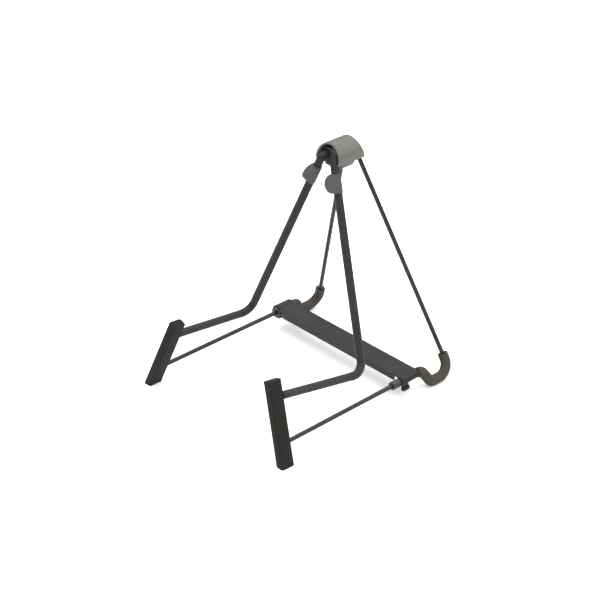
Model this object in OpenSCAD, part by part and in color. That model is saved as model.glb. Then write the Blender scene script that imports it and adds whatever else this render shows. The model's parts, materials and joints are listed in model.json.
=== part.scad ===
// Folding A-frame floor stand for an acoustic guitar.
// Each side is one bent steel rod: pad, lower strut, rear foot, rear leg, head hinge,
// front leg and arm.  Both rods turn in a hinge block under an arched cap.  A moulded
// cross plate turns on the left strut and hooks over the right one, which sets the spread.
// +X is the right-hand side seen from the front, -Y is the front, +Z is up.
// A side frame is drawn flat: x outwards, y to the rear, z up from its hinge axis.

/* [Stance] */
// Lean of each side frame from the vertical when the stand is open, in degrees
lean = 21.2; // [18:0.1:24]
// Height of the two head hinge axes above the floor
hinge_height = 312; // [300:1:330]
// Distance of each head hinge axis from the middle plane
hinge_offset = 10.2; // [10:0.1:12]
// Place of the middle of the head along Y
head_y = 69.2; // [60:0.1:76]

/* [Side frames] */
// Radius of the bent steel rod
rod_r = 3; // [2.8:0.05:3.1]
// Length of the rod's run through the head, between its two bend corners
hinge_run = 39.4; // [38:0.1:42]
// Forward rake of the front leg, in degrees
front_rake = 8.6; // [6:0.1:11]
// Distance of the front leg's lower bend corner below the hinge axis, along the frame
front_drop = 273; // [262:0.5:280]
// Rearward rake of the rear leg, in degrees
rear_rake = 11.2; // [9:0.1:13]
// Rise of the arm towards the front, in degrees
arm_rise = 10; // [6:0.1:13]
// Reach of the arm from the front bend corner to the pad's middle line
arm_reach = 142.5; // [130:0.5:150]
// Height of the lower strut's middle line above the floor
strut_height = 25.4; // [24:0.1:28]
// Place of the corner where the strut bends down to the rear foot, behind the head's middle
hump_y = 35.6; // [34:0.1:38]
// Place of the corner where the drop meets the floor run, behind the head's middle
drop_y = 47; // [45:0.1:50]

/* [Pads and sleeves] */
// Width of a front pad across the stand
pad_w = 12.6; // [10:0.1:13]
// Depth of a front pad from front to rear
pad_d = 20.6; // [17:0.1:21]
// Height of the pad's top above the arm, along the pad
pad_lip = 22; // [14:0.5:26]
// Rake of the pad, bottom end forwards, in degrees
pad_rake = 7.9; // [4:0.1:11]
// Width of the flat steel core inside a pad
core_w = 6.3; // [6.3:0.1:7]
// Depth of the flat steel core inside a pad
core_d = 12; // [9:0.5:12]
// Outer radius of the rubber sleeve on a front leg
leg_sleeve_r = 5.5; // [4.8:0.1:5.5]
// Outer radius of the rubber sleeve on an arm
arm_sleeve_r = 5.3; // [4.4:0.1:5.4]
// Outer radius of the rubber sleeve on a rear foot
foot_sleeve_r = 7; // [6:0.1:7.2]
// Distance of the back bumper's middle below the hinge axis, along the leg
bumper_drop = 30; // [28:0.5:36]
// Length of the back bumper along the leg
bumper_length = 25; // [20:0.5:26]
// Reach of the back bumper in front of the leg's middle line
bumper_reach = 15.5; // [14:0.5:18]

/* [Head] */
// Outer radius of the arched cap
cap_r = 21.5; // [21.5:0.5:23]
// Wall of the arched cap
cap_wall = 2.5; // [2:0.1:2.8]
// Length of the arched cap from front to rear, along its lower edges
cap_length = 46.5; // [43:0.5:48]
// Distance of the cap's middle behind the head's middle
cap_back = 1.75; // [0:0.25:2]
// Slope of the cap's two ends from the vertical, in degrees
cap_slope = 14.5; // [0:0.5:15]
// Height of the cap's lower edge below the hinge axes
cap_edge_drop = 6; // [5.5:0.1:7]
// Half of the hinge keeper's width
keeper_half_w = 18; // [17:0.1:18]
// Depth of the hinge keeper below the hinge axes
keeper_depth = 16; // [12:0.5:17]
// Length of the hinge block and keeper along the hinge axes
block_length = 24; // [21:0.5:24]

/* [Cross plate] */
// Depth of the cross plate from front to rear
plate_d = 31; // [28:0.5:33]
// Place of the cross plate's front edge, measured back from the head's middle
plate_front = -6; // [-8:0.1:-4]
// Wall of the cross plate
plate_wall = 2.3; // [2:0.1:2.6]
// Height of the cross plate's long edge flanges, top to bottom
flange_height = 9; // [6:0.5:10]
// Outer radius of the plastic bobbin that the cross plate's hub turns on
pivot_r = 6.9; // [6.4:0.1:7]
// Outer radius of the plastic sleeve that the cross plate's hook rests over
catch_r = 5.6; // [5.2:0.1:5.8]
// Width of the hook at the cross plate's free end
hook_w = 10; // [8:0.5:14]
// Distance of the hook lip's tip below the strut's middle line
hook_drop = 7.8; // [7.8:0.1:10]

/* [Hidden] */

$fn = 64;

LEFT = -1;
RIGHT = 1;
running_gap = 0.05;
catch_gap = 0.3;
far = 400;

// Bends are drawn this much thinner than the straights, so that no two surfaces are tangent
bend_ease = 0.02;
// Straights run this far into their bends
weld = 0.05;
hinge_bend_r = 8;
arm_bend_r = 16;
hump_bend_r = 8;
drop_bend_r = 9;
heel_bend_r = 17;

steel_black = [0.10, 0.10, 0.11];
rubber_black = [0.07, 0.065, 0.06];
sleeve_black = [0.17, 0.16, 0.15];
cap_grey = [0.55, 0.55, 0.51];
plate_grey = [0.24, 0.24, 0.24];
zinc = [0.62, 0.63, 0.64];

// Distance from the hinge axis, along the leaning frame, down to a height above the floor
function drop_to(height) = (hinge_height - height) / cos(lean);

// Corners of the rod in the flat side frame, as [y, z]
strut_z = -drop_to(strut_height);
floor_z = -drop_to(foot_sleeve_r);
front_top = [-hinge_run / 2, 0];
rear_top = [hinge_run / 2, 0];
front_bend = [-hinge_run / 2 - front_drop * tan(front_rake), -front_drop];
arm_end = front_bend + arm_reach * [-1, tan(arm_rise)];
heel = [hinge_run / 2 - floor_z * tan(rear_rake), floor_z];
hump = [hump_y, strut_z];
drop = [drop_y, floor_z];

// The pad's middle line runs through the arm's end, with its bottom end forwards
pad_up = [sin(pad_rake), cos(pad_rake)];
pad_top = arm_end + pad_lip * pad_up;
pad_length = (pad_top.y + drop_to(0)) / cos(pad_rake) + pad_d * tan(pad_rake);
strut_end = pad_top - (pad_top.y - strut_z) / pad_up.y * pad_up;
core_top_gap = 5;
core_length = (pad_top.y - floor_z) / cos(pad_rake) - core_top_gap;
pad_corner_r = 3;

rod_points = [strut_end, hump, drop, heel, rear_top, front_top, front_bend, arm_end];
rod_radii = [0, hump_bend_r, drop_bend_r, heel_bend_r, hinge_bend_r, hinge_bend_r, arm_bend_r, 0];

// Sleeve stations, as distances along the straight stretches
arm_joint = arm_bend_r * 1.25;
foot_sleeve_top = 28;
foot_sleeve_front = 7;

strut_x = hinge_offset + drop_to(strut_height) * sin(lean);
plate_span = 2 * strut_x;
plate_rear = plate_front + plate_d;
hub_wall = 3;
hub_r = pivot_r + running_gap + hub_wall;
hub_front = plate_front + 5;
hub_notch = 8;
hook_r = catch_r + catch_gap;
plate_top = catch_r + running_gap + plate_wall;
hook_wall = plate_top - hook_r;
flange_start = hub_r + 3;
flange_end = plate_span - hook_r - 4;
rib_height = 6;
pivot_flange_w = 2.4;
pivot_flange_r = 8.2;
catch_front = -20;
catch_rear = plate_rear + 3;

cap_axis_drop = 3;
block_top = 9;
keeper_corner_r = 4;
keeper_foot_half_w = 12.5;
screw_r = 1.5;
screw_head_r = 2.9;
screw_head_h = 2;
screw_y = 7;
boss_r = 3.6;
screw_reach = 13;

// ---- Planar bent bars -------------------------------------------------------------

function unit(v) = v / norm(v);
function heading(v) = atan2(v.y, v.x);
function wrap(a) = a > 180 ? a - 360 : a < -180 ? a + 360 : a;
function turn_at(p, i) = wrap(heading(p[i + 1] - p[i]) - heading(p[i] - p[i - 1]));
function is_end(p, i) = i == 0 || i == len(p) - 1;
function trim_at(p, radii, i) = is_end(p, i) ? 0 : radii[i] * tan(abs(turn_at(p, i)) / 2);

// A round bar of radius r along a polyline in the y-z plane with rounded corners
module bent_bar(points, radii, r) {
    for (i = [0 : len(points) - 2]) {
        straight_bar(points, radii, i, r);
    }
    for (i = [1 : len(points) - 2]) {
        bar_bend(points, radii, i, r);
    }
}

module straight_bar(points, radii, i, r) {
    along = points[i + 1] - points[i];
    start_trim = trim_at(points, radii, i) - (is_end(points, i) ? 0 : weld);
    end_trim = trim_at(points, radii, i + 1) - (is_end(points, i + 1) ? 0 : weld);
    start = points[i] + start_trim * unit(along);
    length = norm(along) - start_trim - end_trim;
    translate([0, start.x, start.y])
        rotate([heading(along) - 90, 0, 0])
            cylinder(r = r, h = length);
}

module bar_bend(points, radii, i, r) {
    before = unit(points[i] - points[i - 1]);
    after = unit(points[i + 1] - points[i]);
    turn = turn_at(points, i);
    side = turn > 0 ? 1 : -1;
    entry = points[i] - trim_at(points, radii, i) * before;
    centre = entry + side * radii[i] * [-before.y, before.x];
    first = side > 0 ? heading(before) - 90 : heading(after) + 90;
    translate([0, centre.x, centre.y])
        rotate([0, 90, 0])
            rotate([0, 0, first + 90])
                rotate_extrude(angle = abs(turn))
                    translate([radii[i], 0])
                        circle(r = r - bend_ease);
}

// A tube over a bar: the bore runs 1 mm past both open ends
module bent_tube(points, radii, r) {
    last = len(points) - 1;
    bore_points = [
        for (i = [0 : last])
            i == 0 ? points[0] + unit(points[0] - points[1])
            : i == last ? points[last] + unit(points[last] - points[last - 1])
            : points[i]
    ];
    difference() {
        bent_bar(points, radii, r);
        bent_bar(bore_points, radii, rod_r + running_gap);
    }
}

// ---- Placing ----------------------------------------------------------------------

module on_side(side) {
    translate([side * hinge_offset, head_y, hinge_height])
        mirror([side == LEFT ? 1 : 0, 0, 0])
            rotate([0, -lean, 0])
                children();
}

module above_floor() {
    intersection() {
        children();
        translate([-far, -far, 0])
            cube([2 * far, 2 * far, 2 * far]);
    }
}

// From the pad's top centre, with z up along the pad
module on_pad() {
    translate([0, pad_top.x, pad_top.y])
        rotate([-pad_rake, 0, 0])
            children();
}

// From the plate's pivot: x along the plate, y to the rear from the head's middle, z up
module on_plate() {
    translate([-strut_x, head_y, strut_height])
        children();
}

module rounded_rect(w, d, r) {
    square([w - 2 * r, d], center = true);
    square([w, d - 2 * r], center = true);
    for (x = [-1, 1], y = [-1, 1]) {
        translate([x * (w / 2 - r), y * (d / 2 - r)])
            circle(r = r);
    }
}

// A cylinder along +Y from y0 to y1
module along_y(r, y0, y1) {
    translate([0, y0, 0])
        rotate([-90, 0, 0])
            cylinder(r = r, h = y1 - y0);
}

// ---- Side frames ------------------------------------------------------------------

module core_shape(gap) {
    w = core_w + 2 * gap;
    d = core_d + 2 * gap;
    translate([-w / 2, -d / 2, -core_top_gap - core_length - gap])
        cube([w, d, core_length + 2 * gap]);
}

module frame_rod(side) {
    color(steel_black)
        on_side(side)
            difference() {
                bent_bar(rod_points, rod_radii, rod_r);
                on_pad()
                    core_shape(0);
            }
}

module pad_core(side) {
    color(steel_black)
        on_side(side)
            on_pad()
                core_shape(0);
}

module front_pad(side) {
    color(rubber_black)
        above_floor()
            on_side(side)
                difference() {
                    on_pad()
                        translate([0, 0, -pad_length])
                            linear_extrude(height = pad_length)
                                rounded_rect(pad_w, pad_d, pad_corner_r);
                    on_pad()
                        core_shape(running_gap);
                    bent_bar([strut_end, hump], [0, 0], rod_r + running_gap);
                    bent_bar([arm_end, front_bend], [0, 0], rod_r + running_gap);
                }
}

module leg_sleeve(side) {
    arm_way = unit(arm_end - front_bend);
    head_face = [-block_length / 2 - catch_gap, 0];
    color(sleeve_black)
        on_side(side)
            bent_tube([head_face, front_top, front_bend, front_bend + arm_joint * arm_way],
                [0, hinge_bend_r, arm_bend_r, 0], leg_sleeve_r);
}

module arm_sleeve(side) {
    arm_way = unit(arm_end - front_bend);
    pad_face = arm_end - pad_d / 2 / cos(arm_rise - pad_rake) * arm_way;
    color(sleeve_black)
        on_side(side)
            bent_tube([front_bend + (arm_joint + running_gap) * arm_way, pad_face - arm_way],
                [0, 0], arm_sleeve_r);
}

// Round-nosed bumper on a thin collar round the leg sleeve
module back_bumper(side) {
    nose_r = bumper_length / 2;
    nose_w = 12;
    collar_r = leg_sleeve_r + 1;
    color(rubber_black)
        on_side(side)
            translate([0, front_top.x, front_top.y])
                rotate([-front_rake, 0, 0])
                    translate([0, 0, -bumper_drop])
                        difference() {
                            union() {
                                translate([0, 0, -nose_r])
                                    cylinder(r = collar_r, h = bumper_length);
                                intersection() {
                                    translate([-nose_w / 2, nose_r - bumper_reach, 0])
                                        rotate([0, 90, 0])
                                            cylinder(r = nose_r, h = nose_w);
                                    translate([-nose_w, -2 * nose_r, -nose_r])
                                        cube([2 * nose_w, 2 * nose_r, bumper_length]);
                                }
                            }
                            translate([0, 0, -nose_r - 1])
                                cylinder(r = leg_sleeve_r + running_gap, h = bumper_length + 2);
                        }
}

module rear_foot(side) {
    strut_way = unit(strut_end - hump);
    leg_way = unit(rear_top - heel);
    color(rubber_black)
        on_side(side)
            bent_tube(
                [hump + foot_sleeve_front * strut_way, hump, drop, heel, heel + foot_sleeve_top * leg_way],
                [0, hump_bend_r, drop_bend_r, heel_bend_r, 0],
                foot_sleeve_r
            );
}

// ---- Head -------------------------------------------------------------------------

module hinge_bores() {
    for (side = [LEFT, RIGHT]) {
        translate([side * hinge_offset, 0, 0])
            along_y(rod_r + running_gap, -block_length, block_length);
    }
}

module screw_holes(r, height) {
    for (y = [-screw_y, screw_y]) {
        translate([0, y, -2 * keeper_depth])
            cylinder(r = r, h = height + 2 * keeper_depth);
    }
}

module at_head() {
    translate([0, head_y, hinge_height])
        children();
}

// A cylinder about the cap's own axis
module round_cap_axis(r, length) {
    translate([0, 0, -cap_axis_drop])
        along_y(r, -length / 2, length / 2);
}

// The space above the cap's lower edges and between its sloping ends
module cap_outline() {
    half = cap_length / 2;
    top = 2 * cap_r;
    inset = top * tan(cap_slope);
    translate([-top, cap_back, -cap_edge_drop])
        rotate([90, 0, 90])
            linear_extrude(height = 2 * top)
                polygon([[-half, 0], [half, 0], [half - inset, top], [inset - half, top]]);
}

module arch_cap() {
    color(cap_grey)
        at_head()
            difference() {
                union() {
                    intersection() {
                        difference() {
                            round_cap_axis(cap_r, 2 * cap_length);
                            round_cap_axis(cap_r - cap_wall, 2 * cap_length + 2);
                        }
                        cap_outline();
                    }
                    intersection() {
                        round_cap_axis(cap_r - cap_wall / 2, cap_length);
                        for (y = [-screw_y, screw_y]) {
                            translate([0, y, block_top])
                                cylinder(r = boss_r, h = cap_r);
                        }
                    }
                }
                screw_holes(screw_r + running_gap, screw_reach + running_gap);
            }
}

// Upper half of the hinge, flat on top and rounded to the cap's inside
module hinge_block() {
    color(steel_black)
        at_head()
            difference() {
                intersection() {
                    round_cap_axis(cap_r - cap_wall - catch_gap, block_length);
                    translate([-cap_r, -block_length, 0])
                        cube([2 * cap_r, 2 * block_length, block_top]);
                }
                hinge_bores();
                screw_holes(screw_r + running_gap, 2 * block_top);
            }
}

// The keeper's outline seen from the front: upright down to the cap's edge, then tapering
module keeper_outline() {
    wide = keeper_half_w + 1;
    rotate([90, 0, 0])
        linear_extrude(height = 2 * block_length, center = true)
            polygon([
                [-wide, 1], [-wide, -cap_edge_drop], [-keeper_foot_half_w, -keeper_depth],
                [keeper_foot_half_w, -keeper_depth], [wide, -cap_edge_drop], [wide, 1]
            ]);
}

// Lower half of the hinge, with the screw heads sunk into its underside
module hinge_keeper() {
    color(steel_black)
        at_head()
            difference() {
                intersection() {
                    translate([0, 0, -keeper_depth])
                        linear_extrude(height = keeper_depth)
                            rounded_rect(2 * keeper_half_w, block_length, keeper_corner_r);
                    keeper_outline();
                }
                hinge_bores();
                screw_holes(screw_r + running_gap, keeper_depth);
                screw_holes(screw_head_r + running_gap, screw_head_h - keeper_depth);
            }
}

module keeper_screws() {
    color(zinc)
        at_head()
            for (y = [-screw_y, screw_y]) {
                translate([0, y, -keeper_depth])
                    cylinder(r = screw_r, h = keeper_depth + screw_reach);
                translate([0, y, -keeper_depth])
                    cylinder(r = screw_head_r, h = screw_head_h);
            }
}

// ---- Cross plate ------------------------------------------------------------------

module plate_skin() {
    translate([0, plate_front, plate_top - plate_wall])
        cube([plate_span, plate_d, plate_wall]);
}

module plate_flanges() {
    for (y = [plate_front, plate_rear - plate_wall]) {
        translate([flange_start, y, plate_top - flange_height])
            cube([flange_end - flange_start, plate_wall, flange_height - plate_wall]);
    }
    for (y = [1, 2]) {
        translate([flange_start, plate_front + y * plate_d / 3 - plate_wall / 2, plate_top - rib_height])
            cube([flange_end - flange_start, plate_wall, rib_height - plate_wall]);
    }
}

// Pivot end: a closed hub round the bobbin, a little prouder than the plate's top
module plate_hub() {
    along_y(hub_r, hub_front, plate_rear);
}

// Free end: a quarter round over the catch sleeve and a straight lip outside it
module plate_hook() {
    translate([plate_span, 0, 0]) {
        intersection() {
            along_y(plate_top, plate_front, plate_rear);
            translate([0, plate_front, 0])
                cube([plate_top, plate_d, plate_top]);
        }
        translate([hook_r, plate_front, -hook_drop])
            cube([hook_wall, hook_w, hook_drop]);
    }
}

module cross_plate() {
    color(plate_grey)
        on_plate()
            difference() {
                union() {
                    plate_skin();
                    plate_flanges();
                    plate_hub();
                    plate_hook();
                }
                along_y(pivot_r + running_gap, plate_front - 1, plate_rear + 1);
                translate([plate_span, 0, 0])
                    along_y(hook_r, plate_front - 1, plate_rear + 1);
                translate([-far, plate_front - 1, 0])
                    cube([far + hub_notch, hub_front - plate_front + 1, far]);
            }
}

// Rubber grip pushed over the hook's lip, below the catch sleeve
module catch_grip() {
    grip_w = 6.4;
    grip_base = 1.5;
    grip_top = -4.6;
    color(rubber_black)
        on_plate()
            translate([plate_span + hook_r + hook_wall / 2, plate_front + hook_w / 2, -hook_drop])
                difference() {
                    translate([0, 0, -grip_base])
                        linear_extrude(height = grip_base + hook_drop + grip_top)
                            rounded_rect(grip_w, hook_w + 2, 2.4);
                    translate([-hook_wall / 2 - running_gap, -hook_w / 2 - running_gap, -running_gap])
                        cube([hook_wall + 2 * running_gap, hook_w + 2 * running_gap, far]);
                }
}

// Plastic bobbin on the left strut that the plate's barrel turns on
module pivot_sleeve() {
    color(rubber_black)
        on_plate()
            difference() {
                union() {
                    along_y(pivot_r, hub_front - catch_gap - pivot_flange_w,
                        plate_rear + catch_gap + pivot_flange_w);
                    along_y(pivot_flange_r, hub_front - catch_gap - pivot_flange_w, hub_front - catch_gap);
                    along_y(pivot_flange_r, plate_rear + catch_gap, plate_rear + catch_gap + pivot_flange_w);
                }
                along_y(rod_r + running_gap, -far / 2, far / 2);
            }
}

// Plastic sleeve on the right strut that the plate's hook rests over
module catch_sleeve() {
    color(rubber_black)
        on_plate()
            translate([plate_span, 0, 0])
                difference() {
                    along_y(catch_r, catch_front, catch_rear);
                    along_y(rod_r + running_gap, -far / 2, far / 2);
                }
}

arch_cap();
hinge_block();
hinge_keeper();
keeper_screws();
cross_plate();
catch_grip();
pivot_sleeve();
catch_sleeve();
frame_rod(LEFT);  // left_frame_rod
pad_core(LEFT);  // left_pad_core
front_pad(LEFT);  // left_front_pad
leg_sleeve(LEFT);  // left_leg_sleeve
arm_sleeve(LEFT);  // left_arm_sleeve
back_bumper(LEFT);  // left_back_bumper
rear_foot(LEFT);  // left_rear_foot
frame_rod(RIGHT);  // right_frame_rod
pad_core(RIGHT);  // right_pad_core
front_pad(RIGHT);  // right_front_pad
leg_sleeve(RIGHT);  // right_leg_sleeve
arm_sleeve(RIGHT);  // right_arm_sleeve
back_bumper(RIGHT);  // right_back_bumper
rear_foot(RIGHT);  // right_rear_foot
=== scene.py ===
"""Looks of a folding guitar stand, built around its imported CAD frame. Metres, +Z up."""

import json
import math

import bmesh
import bpy
from mathutils import Matrix, Vector


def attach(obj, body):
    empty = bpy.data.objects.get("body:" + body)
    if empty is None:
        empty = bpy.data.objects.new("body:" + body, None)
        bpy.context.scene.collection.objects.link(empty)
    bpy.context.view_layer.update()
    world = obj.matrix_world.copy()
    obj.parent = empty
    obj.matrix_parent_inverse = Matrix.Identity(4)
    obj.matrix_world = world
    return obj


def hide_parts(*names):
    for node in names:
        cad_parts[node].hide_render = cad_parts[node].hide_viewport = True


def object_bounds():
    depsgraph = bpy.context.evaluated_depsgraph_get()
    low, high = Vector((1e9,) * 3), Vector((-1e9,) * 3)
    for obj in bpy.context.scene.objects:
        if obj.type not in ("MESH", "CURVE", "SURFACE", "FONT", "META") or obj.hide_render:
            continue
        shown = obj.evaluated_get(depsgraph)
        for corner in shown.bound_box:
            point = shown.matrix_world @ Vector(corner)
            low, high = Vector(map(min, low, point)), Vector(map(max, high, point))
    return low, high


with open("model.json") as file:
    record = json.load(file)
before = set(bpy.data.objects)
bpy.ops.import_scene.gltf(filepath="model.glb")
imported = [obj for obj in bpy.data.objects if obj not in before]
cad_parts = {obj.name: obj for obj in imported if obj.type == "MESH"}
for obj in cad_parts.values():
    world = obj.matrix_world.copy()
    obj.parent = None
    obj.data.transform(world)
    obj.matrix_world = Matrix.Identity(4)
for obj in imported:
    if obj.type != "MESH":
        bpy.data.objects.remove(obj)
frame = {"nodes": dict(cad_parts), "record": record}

CAD_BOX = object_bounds()
MIDDLE = (CAD_BOX[0] + CAD_BOX[1]) / 2
MM = 0.001

# The camera: the direction and distance it looks from, its lens and sensor in mm, and the
# point it aims at, measured from the middle of the CAD box
VIEW_AZIMUTH = math.radians(47.44)
VIEW_ELEVATION = math.radians(30.23)
VIEW_ROLL = math.radians(-0.31)
VIEW_DISTANCE = 2.2506
VIEW_LENS = 104.7
SENSOR_WIDTH = 36
AIM_OFFSET = Vector((0.01344, -0.01127, -0.03233))
FARTHEST_SEEN = 100

# The room's brightness near the horizon and overhead, and where it starts and stops
# changing, as the upward part of a direction of length 1
HORIZON_LIGHT = 0.14
OVERHEAD_LIGHT = 2.5
HORIZON_ENDS = 0.10
OVERHEAD_STARTS = 0.75

# Soft boxes: name, place from the middle, width, watts
LAMPS = (
    ("key", Vector((-0.2, 0.2, 2.1)), 2.4, 10),
    ("fill", Vector((1.5, -0.5, 1.3)), 0.9, 4),
    ("rim", Vector((1.1, 1.3, 1.3)), 0.8, 7),
)

# How far the floor goes each way, how white it is, and how matt
FLOOR_REACH = 20
FLOOR_WHITES = ((0.93, 0.93, 0.93), (0.95, 0.95, 0.95))
FLOOR_ROUGHNESS = (0.8, 0.9)

# Cleaning of the CAD meshes: points that count as one, and faces that count as flat
SAME_PLACE = 0.002 * MM
FLAT_BELOW = math.radians(0.6)

# Rounding of sharp edges: from which angle, on faces at least how narrow, in how many steps
ROUNDED_ABOVE = math.radians(32)
NARROWEST_FACE = 0.1 * MM
ROUNDING_STEPS = 3

# Edges that bend less than this are shaded smooth
SMOOTH_BELOW = math.radians(40)

# How wide a node's sharp edges are rounded, by the ending of its name
EDGES = {
    "arch_cap": 0.9 * MM,
    "hinge_block": 0.6 * MM,
    "hinge_keeper": 0.9 * MM,
    "keeper_screws": 0.5 * MM,
    "cross_plate": 0.6 * MM,
    "catch_grip": 0.9 * MM,
    "pivot_sleeve": 0.5 * MM,
    "catch_sleeve": 0.6 * MM,
    "front_pad": 1.6 * MM,
    "back_bumper": 1.4 * MM,
    "leg_sleeve": 0.7 * MM,
    "arm_sleeve": 0.6 * MM,
    "rear_foot": 1.0 * MM,
}

# The colour sockets of Blender's Mix node, which have no names of their own
MIX_COLOUR_A = 6
MIX_COLOUR_B = 7
MIX_COLOUR_RESULT = 2

BODY_OF_NODE = {
    node: body
    for body, nodes in frame["record"]["behaviour"]["bodies"].items()
    for node in nodes
}
SLOT_OF_NODE = {row["node"]: row["material_slot"] for row in frame["record"]["subparts"]}


# ---- Materials --------------------------------------------------------------------

class Finish:
    """A Principled material and the nodes that vary its colour, roughness and relief."""

    def __init__(self, name, specular, metallic=0.0):
        self.material = bpy.data.materials.new(name)
        self.material.use_nodes = True
        self.tree = self.material.node_tree
        self.shader = self.tree.nodes["Principled BSDF"]
        self.shader.inputs["Specular IOR Level"].default_value = specular
        self.shader.inputs["Metallic"].default_value = metallic
        coordinates = self.tree.nodes.new("ShaderNodeTexCoord")
        self.place = coordinates.outputs["Object"]

    def link(self, source, target):
        """Join one node's output to another's input."""
        self.tree.links.new(source, target)

    def stretched(self, scale):
        """Coordinates scaled by (x, y, z), for streaks."""
        mapping = self.tree.nodes.new("ShaderNodeMapping")
        mapping.inputs["Scale"].default_value = scale
        self.link(self.place, mapping.inputs["Vector"])
        return mapping.outputs["Vector"]

    def noise(self, size, detail=3.0, roughness=0.55, place=None):
        """Noise whose features are about size metres across."""
        node = self.tree.nodes.new("ShaderNodeTexNoise")
        node.inputs["Scale"].default_value = 1 / size
        node.inputs["Detail"].default_value = detail
        node.inputs["Roughness"].default_value = roughness
        self.link(place or self.place, node.inputs["Vector"])
        return node.outputs["Fac"]

    def cells(self, size, smoothness=0.4):
        """Smooth pebbles about size metres across."""
        node = self.tree.nodes.new("ShaderNodeTexVoronoi")
        node.feature = "SMOOTH_F1"
        node.inputs["Scale"].default_value = 1 / size
        node.inputs["Smoothness"].default_value = smoothness
        self.link(self.place, node.inputs["Vector"])
        return node.outputs["Distance"]

    def remap(self, factor, low=0, high=1, start=0.3, end=0.7):
        """Low where factor is start or less, high where it is end or more."""
        node = self.tree.nodes.new("ShaderNodeMapRange")
        node.inputs["From Min"].default_value = start
        node.inputs["From Max"].default_value = end
        node.inputs["To Min"].default_value = low
        node.inputs["To Max"].default_value = high
        self.link(factor, node.inputs["Value"])
        return node.outputs["Result"]

    def mix(self, factor, first, second):
        """Colour between first and second, each a colour or a socket."""
        node = self.tree.nodes.new("ShaderNodeMix")
        node.data_type = "RGBA"
        self.link(factor, node.inputs["Factor"])
        for index, value in ((MIX_COLOUR_A, first), (MIX_COLOUR_B, second)):
            if isinstance(value, tuple):
                node.inputs[index].default_value = (*value, 1)
            else:
                self.link(value, node.inputs[index])
        return node.outputs[MIX_COLOUR_RESULT]

    def colour(self, value):
        """Use a socket as the surface's colour."""
        self.link(value, self.shader.inputs["Base Color"])

    def roughness(self, value):
        """Use a socket as the surface's roughness."""
        self.link(value, self.shader.inputs["Roughness"])

    def relief(self, *layers):
        """Bump from (height, depth in metres) layers, one on top of the other."""
        normal = None
        for height, depth in layers:
            node = self.tree.nodes.new("ShaderNodeBump")
            node.inputs["Strength"].default_value = 1.0
            node.inputs["Distance"].default_value = depth
            self.link(height, node.inputs["Height"])
            if normal is not None:
                self.link(normal, node.inputs["Normal"])
            normal = node.outputs["Normal"]
        self.link(normal, self.shader.inputs["Normal"])


def powder_coat():
    """Satin black powder coat with its fine orange peel."""
    f = Finish("powder_coat", specular=0.26)
    cloud = f.noise(0.03, detail=4)
    dark = (0.010, 0.010, 0.0105)
    light = (0.017, 0.0165, 0.016)
    f.colour(f.mix(f.remap(cloud), dark, light))
    f.roughness(f.remap(f.noise(0.006), 0.26, 0.40))
    f.relief((f.cells(0.0012), 0.00006), (f.noise(0.0004, detail=2), 0.00002))
    return f.material


def hose(name, dark, light):
    """Extruded rubber hose: faint draw lines down its length, scuffs and a soft shine."""
    f = Finish(name, specular=0.18)
    lines = f.noise(0.0016, detail=2, place=f.stretched((1, 1, 0.06)))
    dust = f.noise(0.018, detail=5, roughness=0.65)
    tone = f.mix(f.remap(lines), dark, light)
    scuffed = (0.055, 0.052, 0.048)
    f.colour(f.mix(f.remap(dust, high=0.3, start=0.5, end=0.75), tone, scuffed))
    f.roughness(f.remap(f.noise(0.009, detail=4), 0.48, 0.66))
    f.relief((lines, 0.00008), (f.noise(0.0005), 0.00005))
    return f.material


def moulded_rubber(name, dark, light, dusty):
    """Matt moulded rubber with a fine grain and a little dust."""
    f = Finish(name, specular=0.11)
    grain = f.noise(0.0007)
    dust = f.noise(0.014, detail=5, roughness=0.7)
    tone = f.mix(f.remap(grain), dark, light)
    f.colour(f.mix(f.remap(dust, high=0.3, start=0.52, end=0.8), tone, dusty))
    f.roughness(f.remap(dust, 0.58, 0.76))
    f.relief((grain, 0.00008), (f.noise(0.005, detail=2), 0.0001))
    return f.material


def cap_plastic():
    """Warm grey moulded plastic with a spark-eroded texture."""
    f = Finish("cap_plastic", specular=0.38)
    cloud = f.noise(0.02, detail=4)
    grain = f.cells(0.0009, smoothness=0.7)
    dark = (0.082, 0.082, 0.0745)
    light = (0.098, 0.098, 0.089)
    pitted = (0.066, 0.066, 0.060)
    tone = f.mix(f.remap(cloud), dark, light)
    f.colour(f.mix(f.remap(grain, high=0.25, start=0.2, end=0.6), tone, pitted))
    f.roughness(f.remap(cloud, 0.42, 0.56))
    f.relief((grain, 0.00007), (f.noise(0.0004, detail=2), 0.00003))
    return f.material


def plate_plastic():
    """Satin dark grey moulded plate: fine grain, faint flow marks along its length."""
    f = Finish("plate_plastic", specular=0.22)
    flow = f.noise(0.004, detail=4, place=f.stretched((0.08, 1, 1)))
    cloud = f.noise(0.03, detail=4)
    dark = (0.0062, 0.0064, 0.0074)
    light = (0.0096, 0.0096, 0.0102)
    rubbed = (0.016, 0.016, 0.0158)
    tone = f.mix(f.remap(cloud), dark, light)
    f.colour(f.mix(f.remap(flow, high=0.4), tone, rubbed))
    f.roughness(f.remap(flow, 0.40, 0.54))
    f.relief((f.cells(0.0010, smoothness=0.7), 0.00005), (flow, 0.00005))
    return f.material


def black_nylon():
    """Black nylon of the bearings and the hinge block."""
    f = Finish("black_nylon", specular=0.45)
    cloud = f.noise(0.008, detail=4)
    dark = (0.011, 0.0105, 0.010)
    light = (0.020, 0.019, 0.018)
    f.colour(f.mix(f.remap(cloud), dark, light))
    f.roughness(f.remap(cloud, 0.40, 0.55))
    f.relief((f.noise(0.0006), 0.00005))
    return f.material


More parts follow.
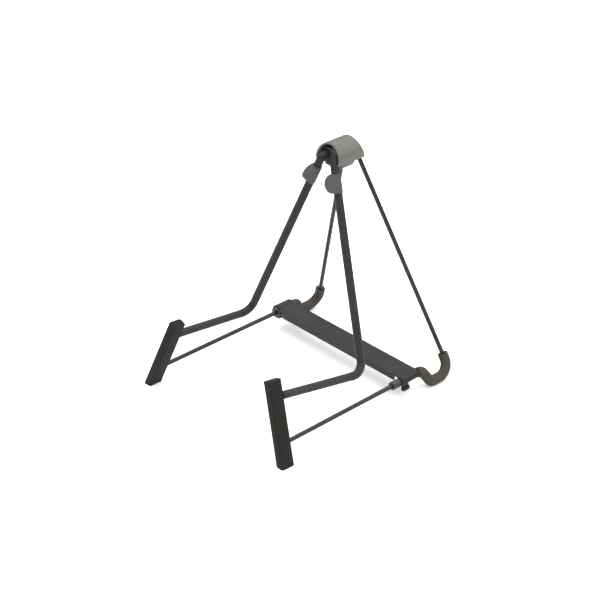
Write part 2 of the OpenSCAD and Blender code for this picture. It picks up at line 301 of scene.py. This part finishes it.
def zinc():
    """Zinc-plated screws, lightly brushed."""
    f = Finish("zinc", specular=0.5, metallic=1.0)
    brush = f.noise(0.0008, place=f.stretched((1, 0.1, 1)))
    dark = (0.46, 0.46, 0.47)
    light = (0.62, 0.62, 0.61)
    f.colour(f.mix(f.remap(brush), dark, light))
    f.roughness(f.remap(brush, 0.26, 0.42))
    f.relief((brush, 0.00002))
    return f.material


BLACK_COAT = powder_coat()
BLACK_NYLON = black_nylon()

# The material of each of the record's slots
MATERIALS = {
    "rod": BLACK_COAT,
    "core": BLACK_COAT,
    "leg_sleeve": hose(
        "leg_hose",
        dark=(0.0125, 0.0123, 0.012),
        light=(0.021, 0.0205, 0.020),
    ),
    "arm_sleeve": hose(
        "arm_hose",
        dark=(0.0185, 0.0165, 0.015),
        light=(0.0285, 0.0255, 0.023),
    ),
    "pad": moulded_rubber(
        "pad_rubber",
        dark=(0.0095, 0.0083, 0.0073),
        light=(0.0155, 0.0138, 0.012),
        dusty=(0.034, 0.031, 0.028),
    ),
    "foot": moulded_rubber(
        "foot_rubber",
        dark=(0.036, 0.031, 0.027),
        light=(0.052, 0.0455, 0.040),
        dusty=(0.088, 0.079, 0.070),
    ),
    "bumper": moulded_rubber(
        "bumper_rubber",
        dark=(0.050, 0.050, 0.049),
        light=(0.069, 0.069, 0.0675),
        dusty=(0.098, 0.098, 0.095),
    ),
    "cap": cap_plastic(),
    "plate": plate_plastic(),
    "bearing": BLACK_NYLON,
    "hinge_block": BLACK_NYLON,
    "screws": zinc(),
}


# ---- Pieces -----------------------------------------------------------------------

def dress(piece, node):
    """Give a piece the material of a CAD node's slot."""
    piece.data.materials.clear()
    piece.data.materials.append(MATERIALS[SLOT_OF_NODE[node]])


def finish_mesh(piece):
    """Shade a piece smooth apart from its sharp edges."""
    piece.data.shade_smooth()
    piece.data.set_sharp_from_angle(angle=SMOOTH_BELOW)


def thickness(face):
    """The narrow way across a face."""
    return 2 * face.calc_area() / max(e.calc_length() for e in face.edges)


def refined(node, edge):
    """A copy of a CAD node with its sharp edges rounded, which then stands for it."""
    mesh = bmesh.new()
    mesh.from_mesh(frame["nodes"][node].data)
    bmesh.ops.remove_doubles(mesh, verts=mesh.verts, dist=SAME_PLACE)
    bmesh.ops.dissolve_limit(mesh, angle_limit=FLAT_BELOW, verts=mesh.verts, edges=mesh.edges)
    sharp = [
        e for e in mesh.edges
        if e.is_manifold
        and e.calc_face_angle(0) > ROUNDED_ABOVE
        and min(thickness(f) for f in e.link_faces) > NARROWEST_FACE
    ]
    bmesh.ops.bevel(
        mesh,
        geom=sharp,
        offset=edge,
        offset_type="OFFSET",
        segments=ROUNDING_STEPS,
        profile=0.5,
        affect="EDGES",
        clamp_overlap=True,
    )
    data = bpy.data.meshes.new(node + "_detail")
    mesh.to_mesh(data)
    mesh.free()
    piece = bpy.data.objects.new(node + "_detail", data)
    bpy.context.scene.collection.objects.link(piece)
    finish_mesh(piece)
    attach(piece, BODY_OF_NODE[node])
    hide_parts(node)
    return piece


def edge_of(node):
    """How wide a node's edges are rounded, or None where the CAD shape is kept."""
    for ending, edge in EDGES.items():
        if node.endswith(ending):
            return edge
    return None


for node, cad_piece in frame["nodes"].items():
    dress(cad_piece, node)
    edge = edge_of(node)
    if edge is None:
        finish_mesh(cad_piece)
    else:
        dress(refined(node, edge), node)


# ---- Stage ------------------------------------------------------------------------

def white_floor():
    """A plain white floor under the stand."""
    data = bpy.data.meshes.new("floor")
    corners = [
        (x * FLOOR_REACH, y * FLOOR_REACH, 0)
        for x, y in ((-1, -1), (1, -1), (1, 1), (-1, 1))
    ]
    data.from_pydata(corners, [], [(0, 1, 2, 3)])
    floor = bpy.data.objects.new("floor", data)
    bpy.context.scene.collection.objects.link(floor)
    f = Finish("floor", specular=0.2)
    f.colour(f.mix(f.remap(f.noise(0.5)), *FLOOR_WHITES))
    f.roughness(f.remap(f.noise(0.1), *FLOOR_ROUGHNESS))
    data.materials.append(f.material)


def studio():
    """A room that is dark near the horizon and bright overhead, and three soft boxes."""
    world = bpy.data.worlds.new("studio")
    world.use_nodes = True
    tree = world.node_tree
    background = tree.nodes["Background"]
    background.inputs["Color"].default_value = (1, 1, 1, 1)
    direction = tree.nodes.new("ShaderNodeTexCoord")
    split = tree.nodes.new("ShaderNodeSeparateXYZ")
    height = tree.nodes.new("ShaderNodeMapRange")
    height.interpolation_type = "SMOOTHSTEP"
    height.inputs["From Min"].default_value = HORIZON_ENDS
    height.inputs["From Max"].default_value = OVERHEAD_STARTS
    height.inputs["To Min"].default_value = HORIZON_LIGHT
    height.inputs["To Max"].default_value = OVERHEAD_LIGHT
    tree.links.new(direction.outputs["Generated"], split.inputs["Vector"])
    tree.links.new(split.outputs["Z"], height.inputs["Value"])
    tree.links.new(height.outputs["Result"], background.inputs["Strength"])
    bpy.context.scene.world = world
    for name, place, size, power in LAMPS:
        light = bpy.data.lights.new(name, "AREA")
        light.size = size
        light.energy = power
        lamp = bpy.data.objects.new(name, light)
        lamp.location = MIDDLE + place
        lamp.rotation_euler = (-place).to_track_quat("-Z", "Y").to_euler()
        bpy.context.scene.collection.objects.link(lamp)


def camera():
    """The camera at the photo's angle, turned a little about its own axis."""
    lens = bpy.data.cameras.new("camera")
    lens.lens = VIEW_LENS
    lens.sensor_width = SENSOR_WIDTH
    lens.clip_end = FARTHEST_SEEN
    eye = bpy.data.objects.new("camera", lens)
    across = math.cos(VIEW_ELEVATION)
    back = Vector((
        math.sin(VIEW_AZIMUTH) * across,
        -math.cos(VIEW_AZIMUTH) * across,
        math.sin(VIEW_ELEVATION),
    ))
    right = Vector((0, 0, 1)).cross(back).normalized()
    up = back.cross(right)
    turned_right = right * math.cos(VIEW_ROLL) + up * math.sin(VIEW_ROLL)
    turned_up = back.cross(turned_right)
    turn = Matrix((turned_right, turned_up, back)).transposed().to_4x4()
    place = MIDDLE + AIM_OFFSET + back * VIEW_DISTANCE
    eye.matrix_world = Matrix.Translation(place) @ turn
    bpy.context.scene.collection.objects.link(eye)
    bpy.context.scene.camera = eye


white_floor()
studio()
camera()
bpy.context.scene.view_settings.view_transform = "Standard"
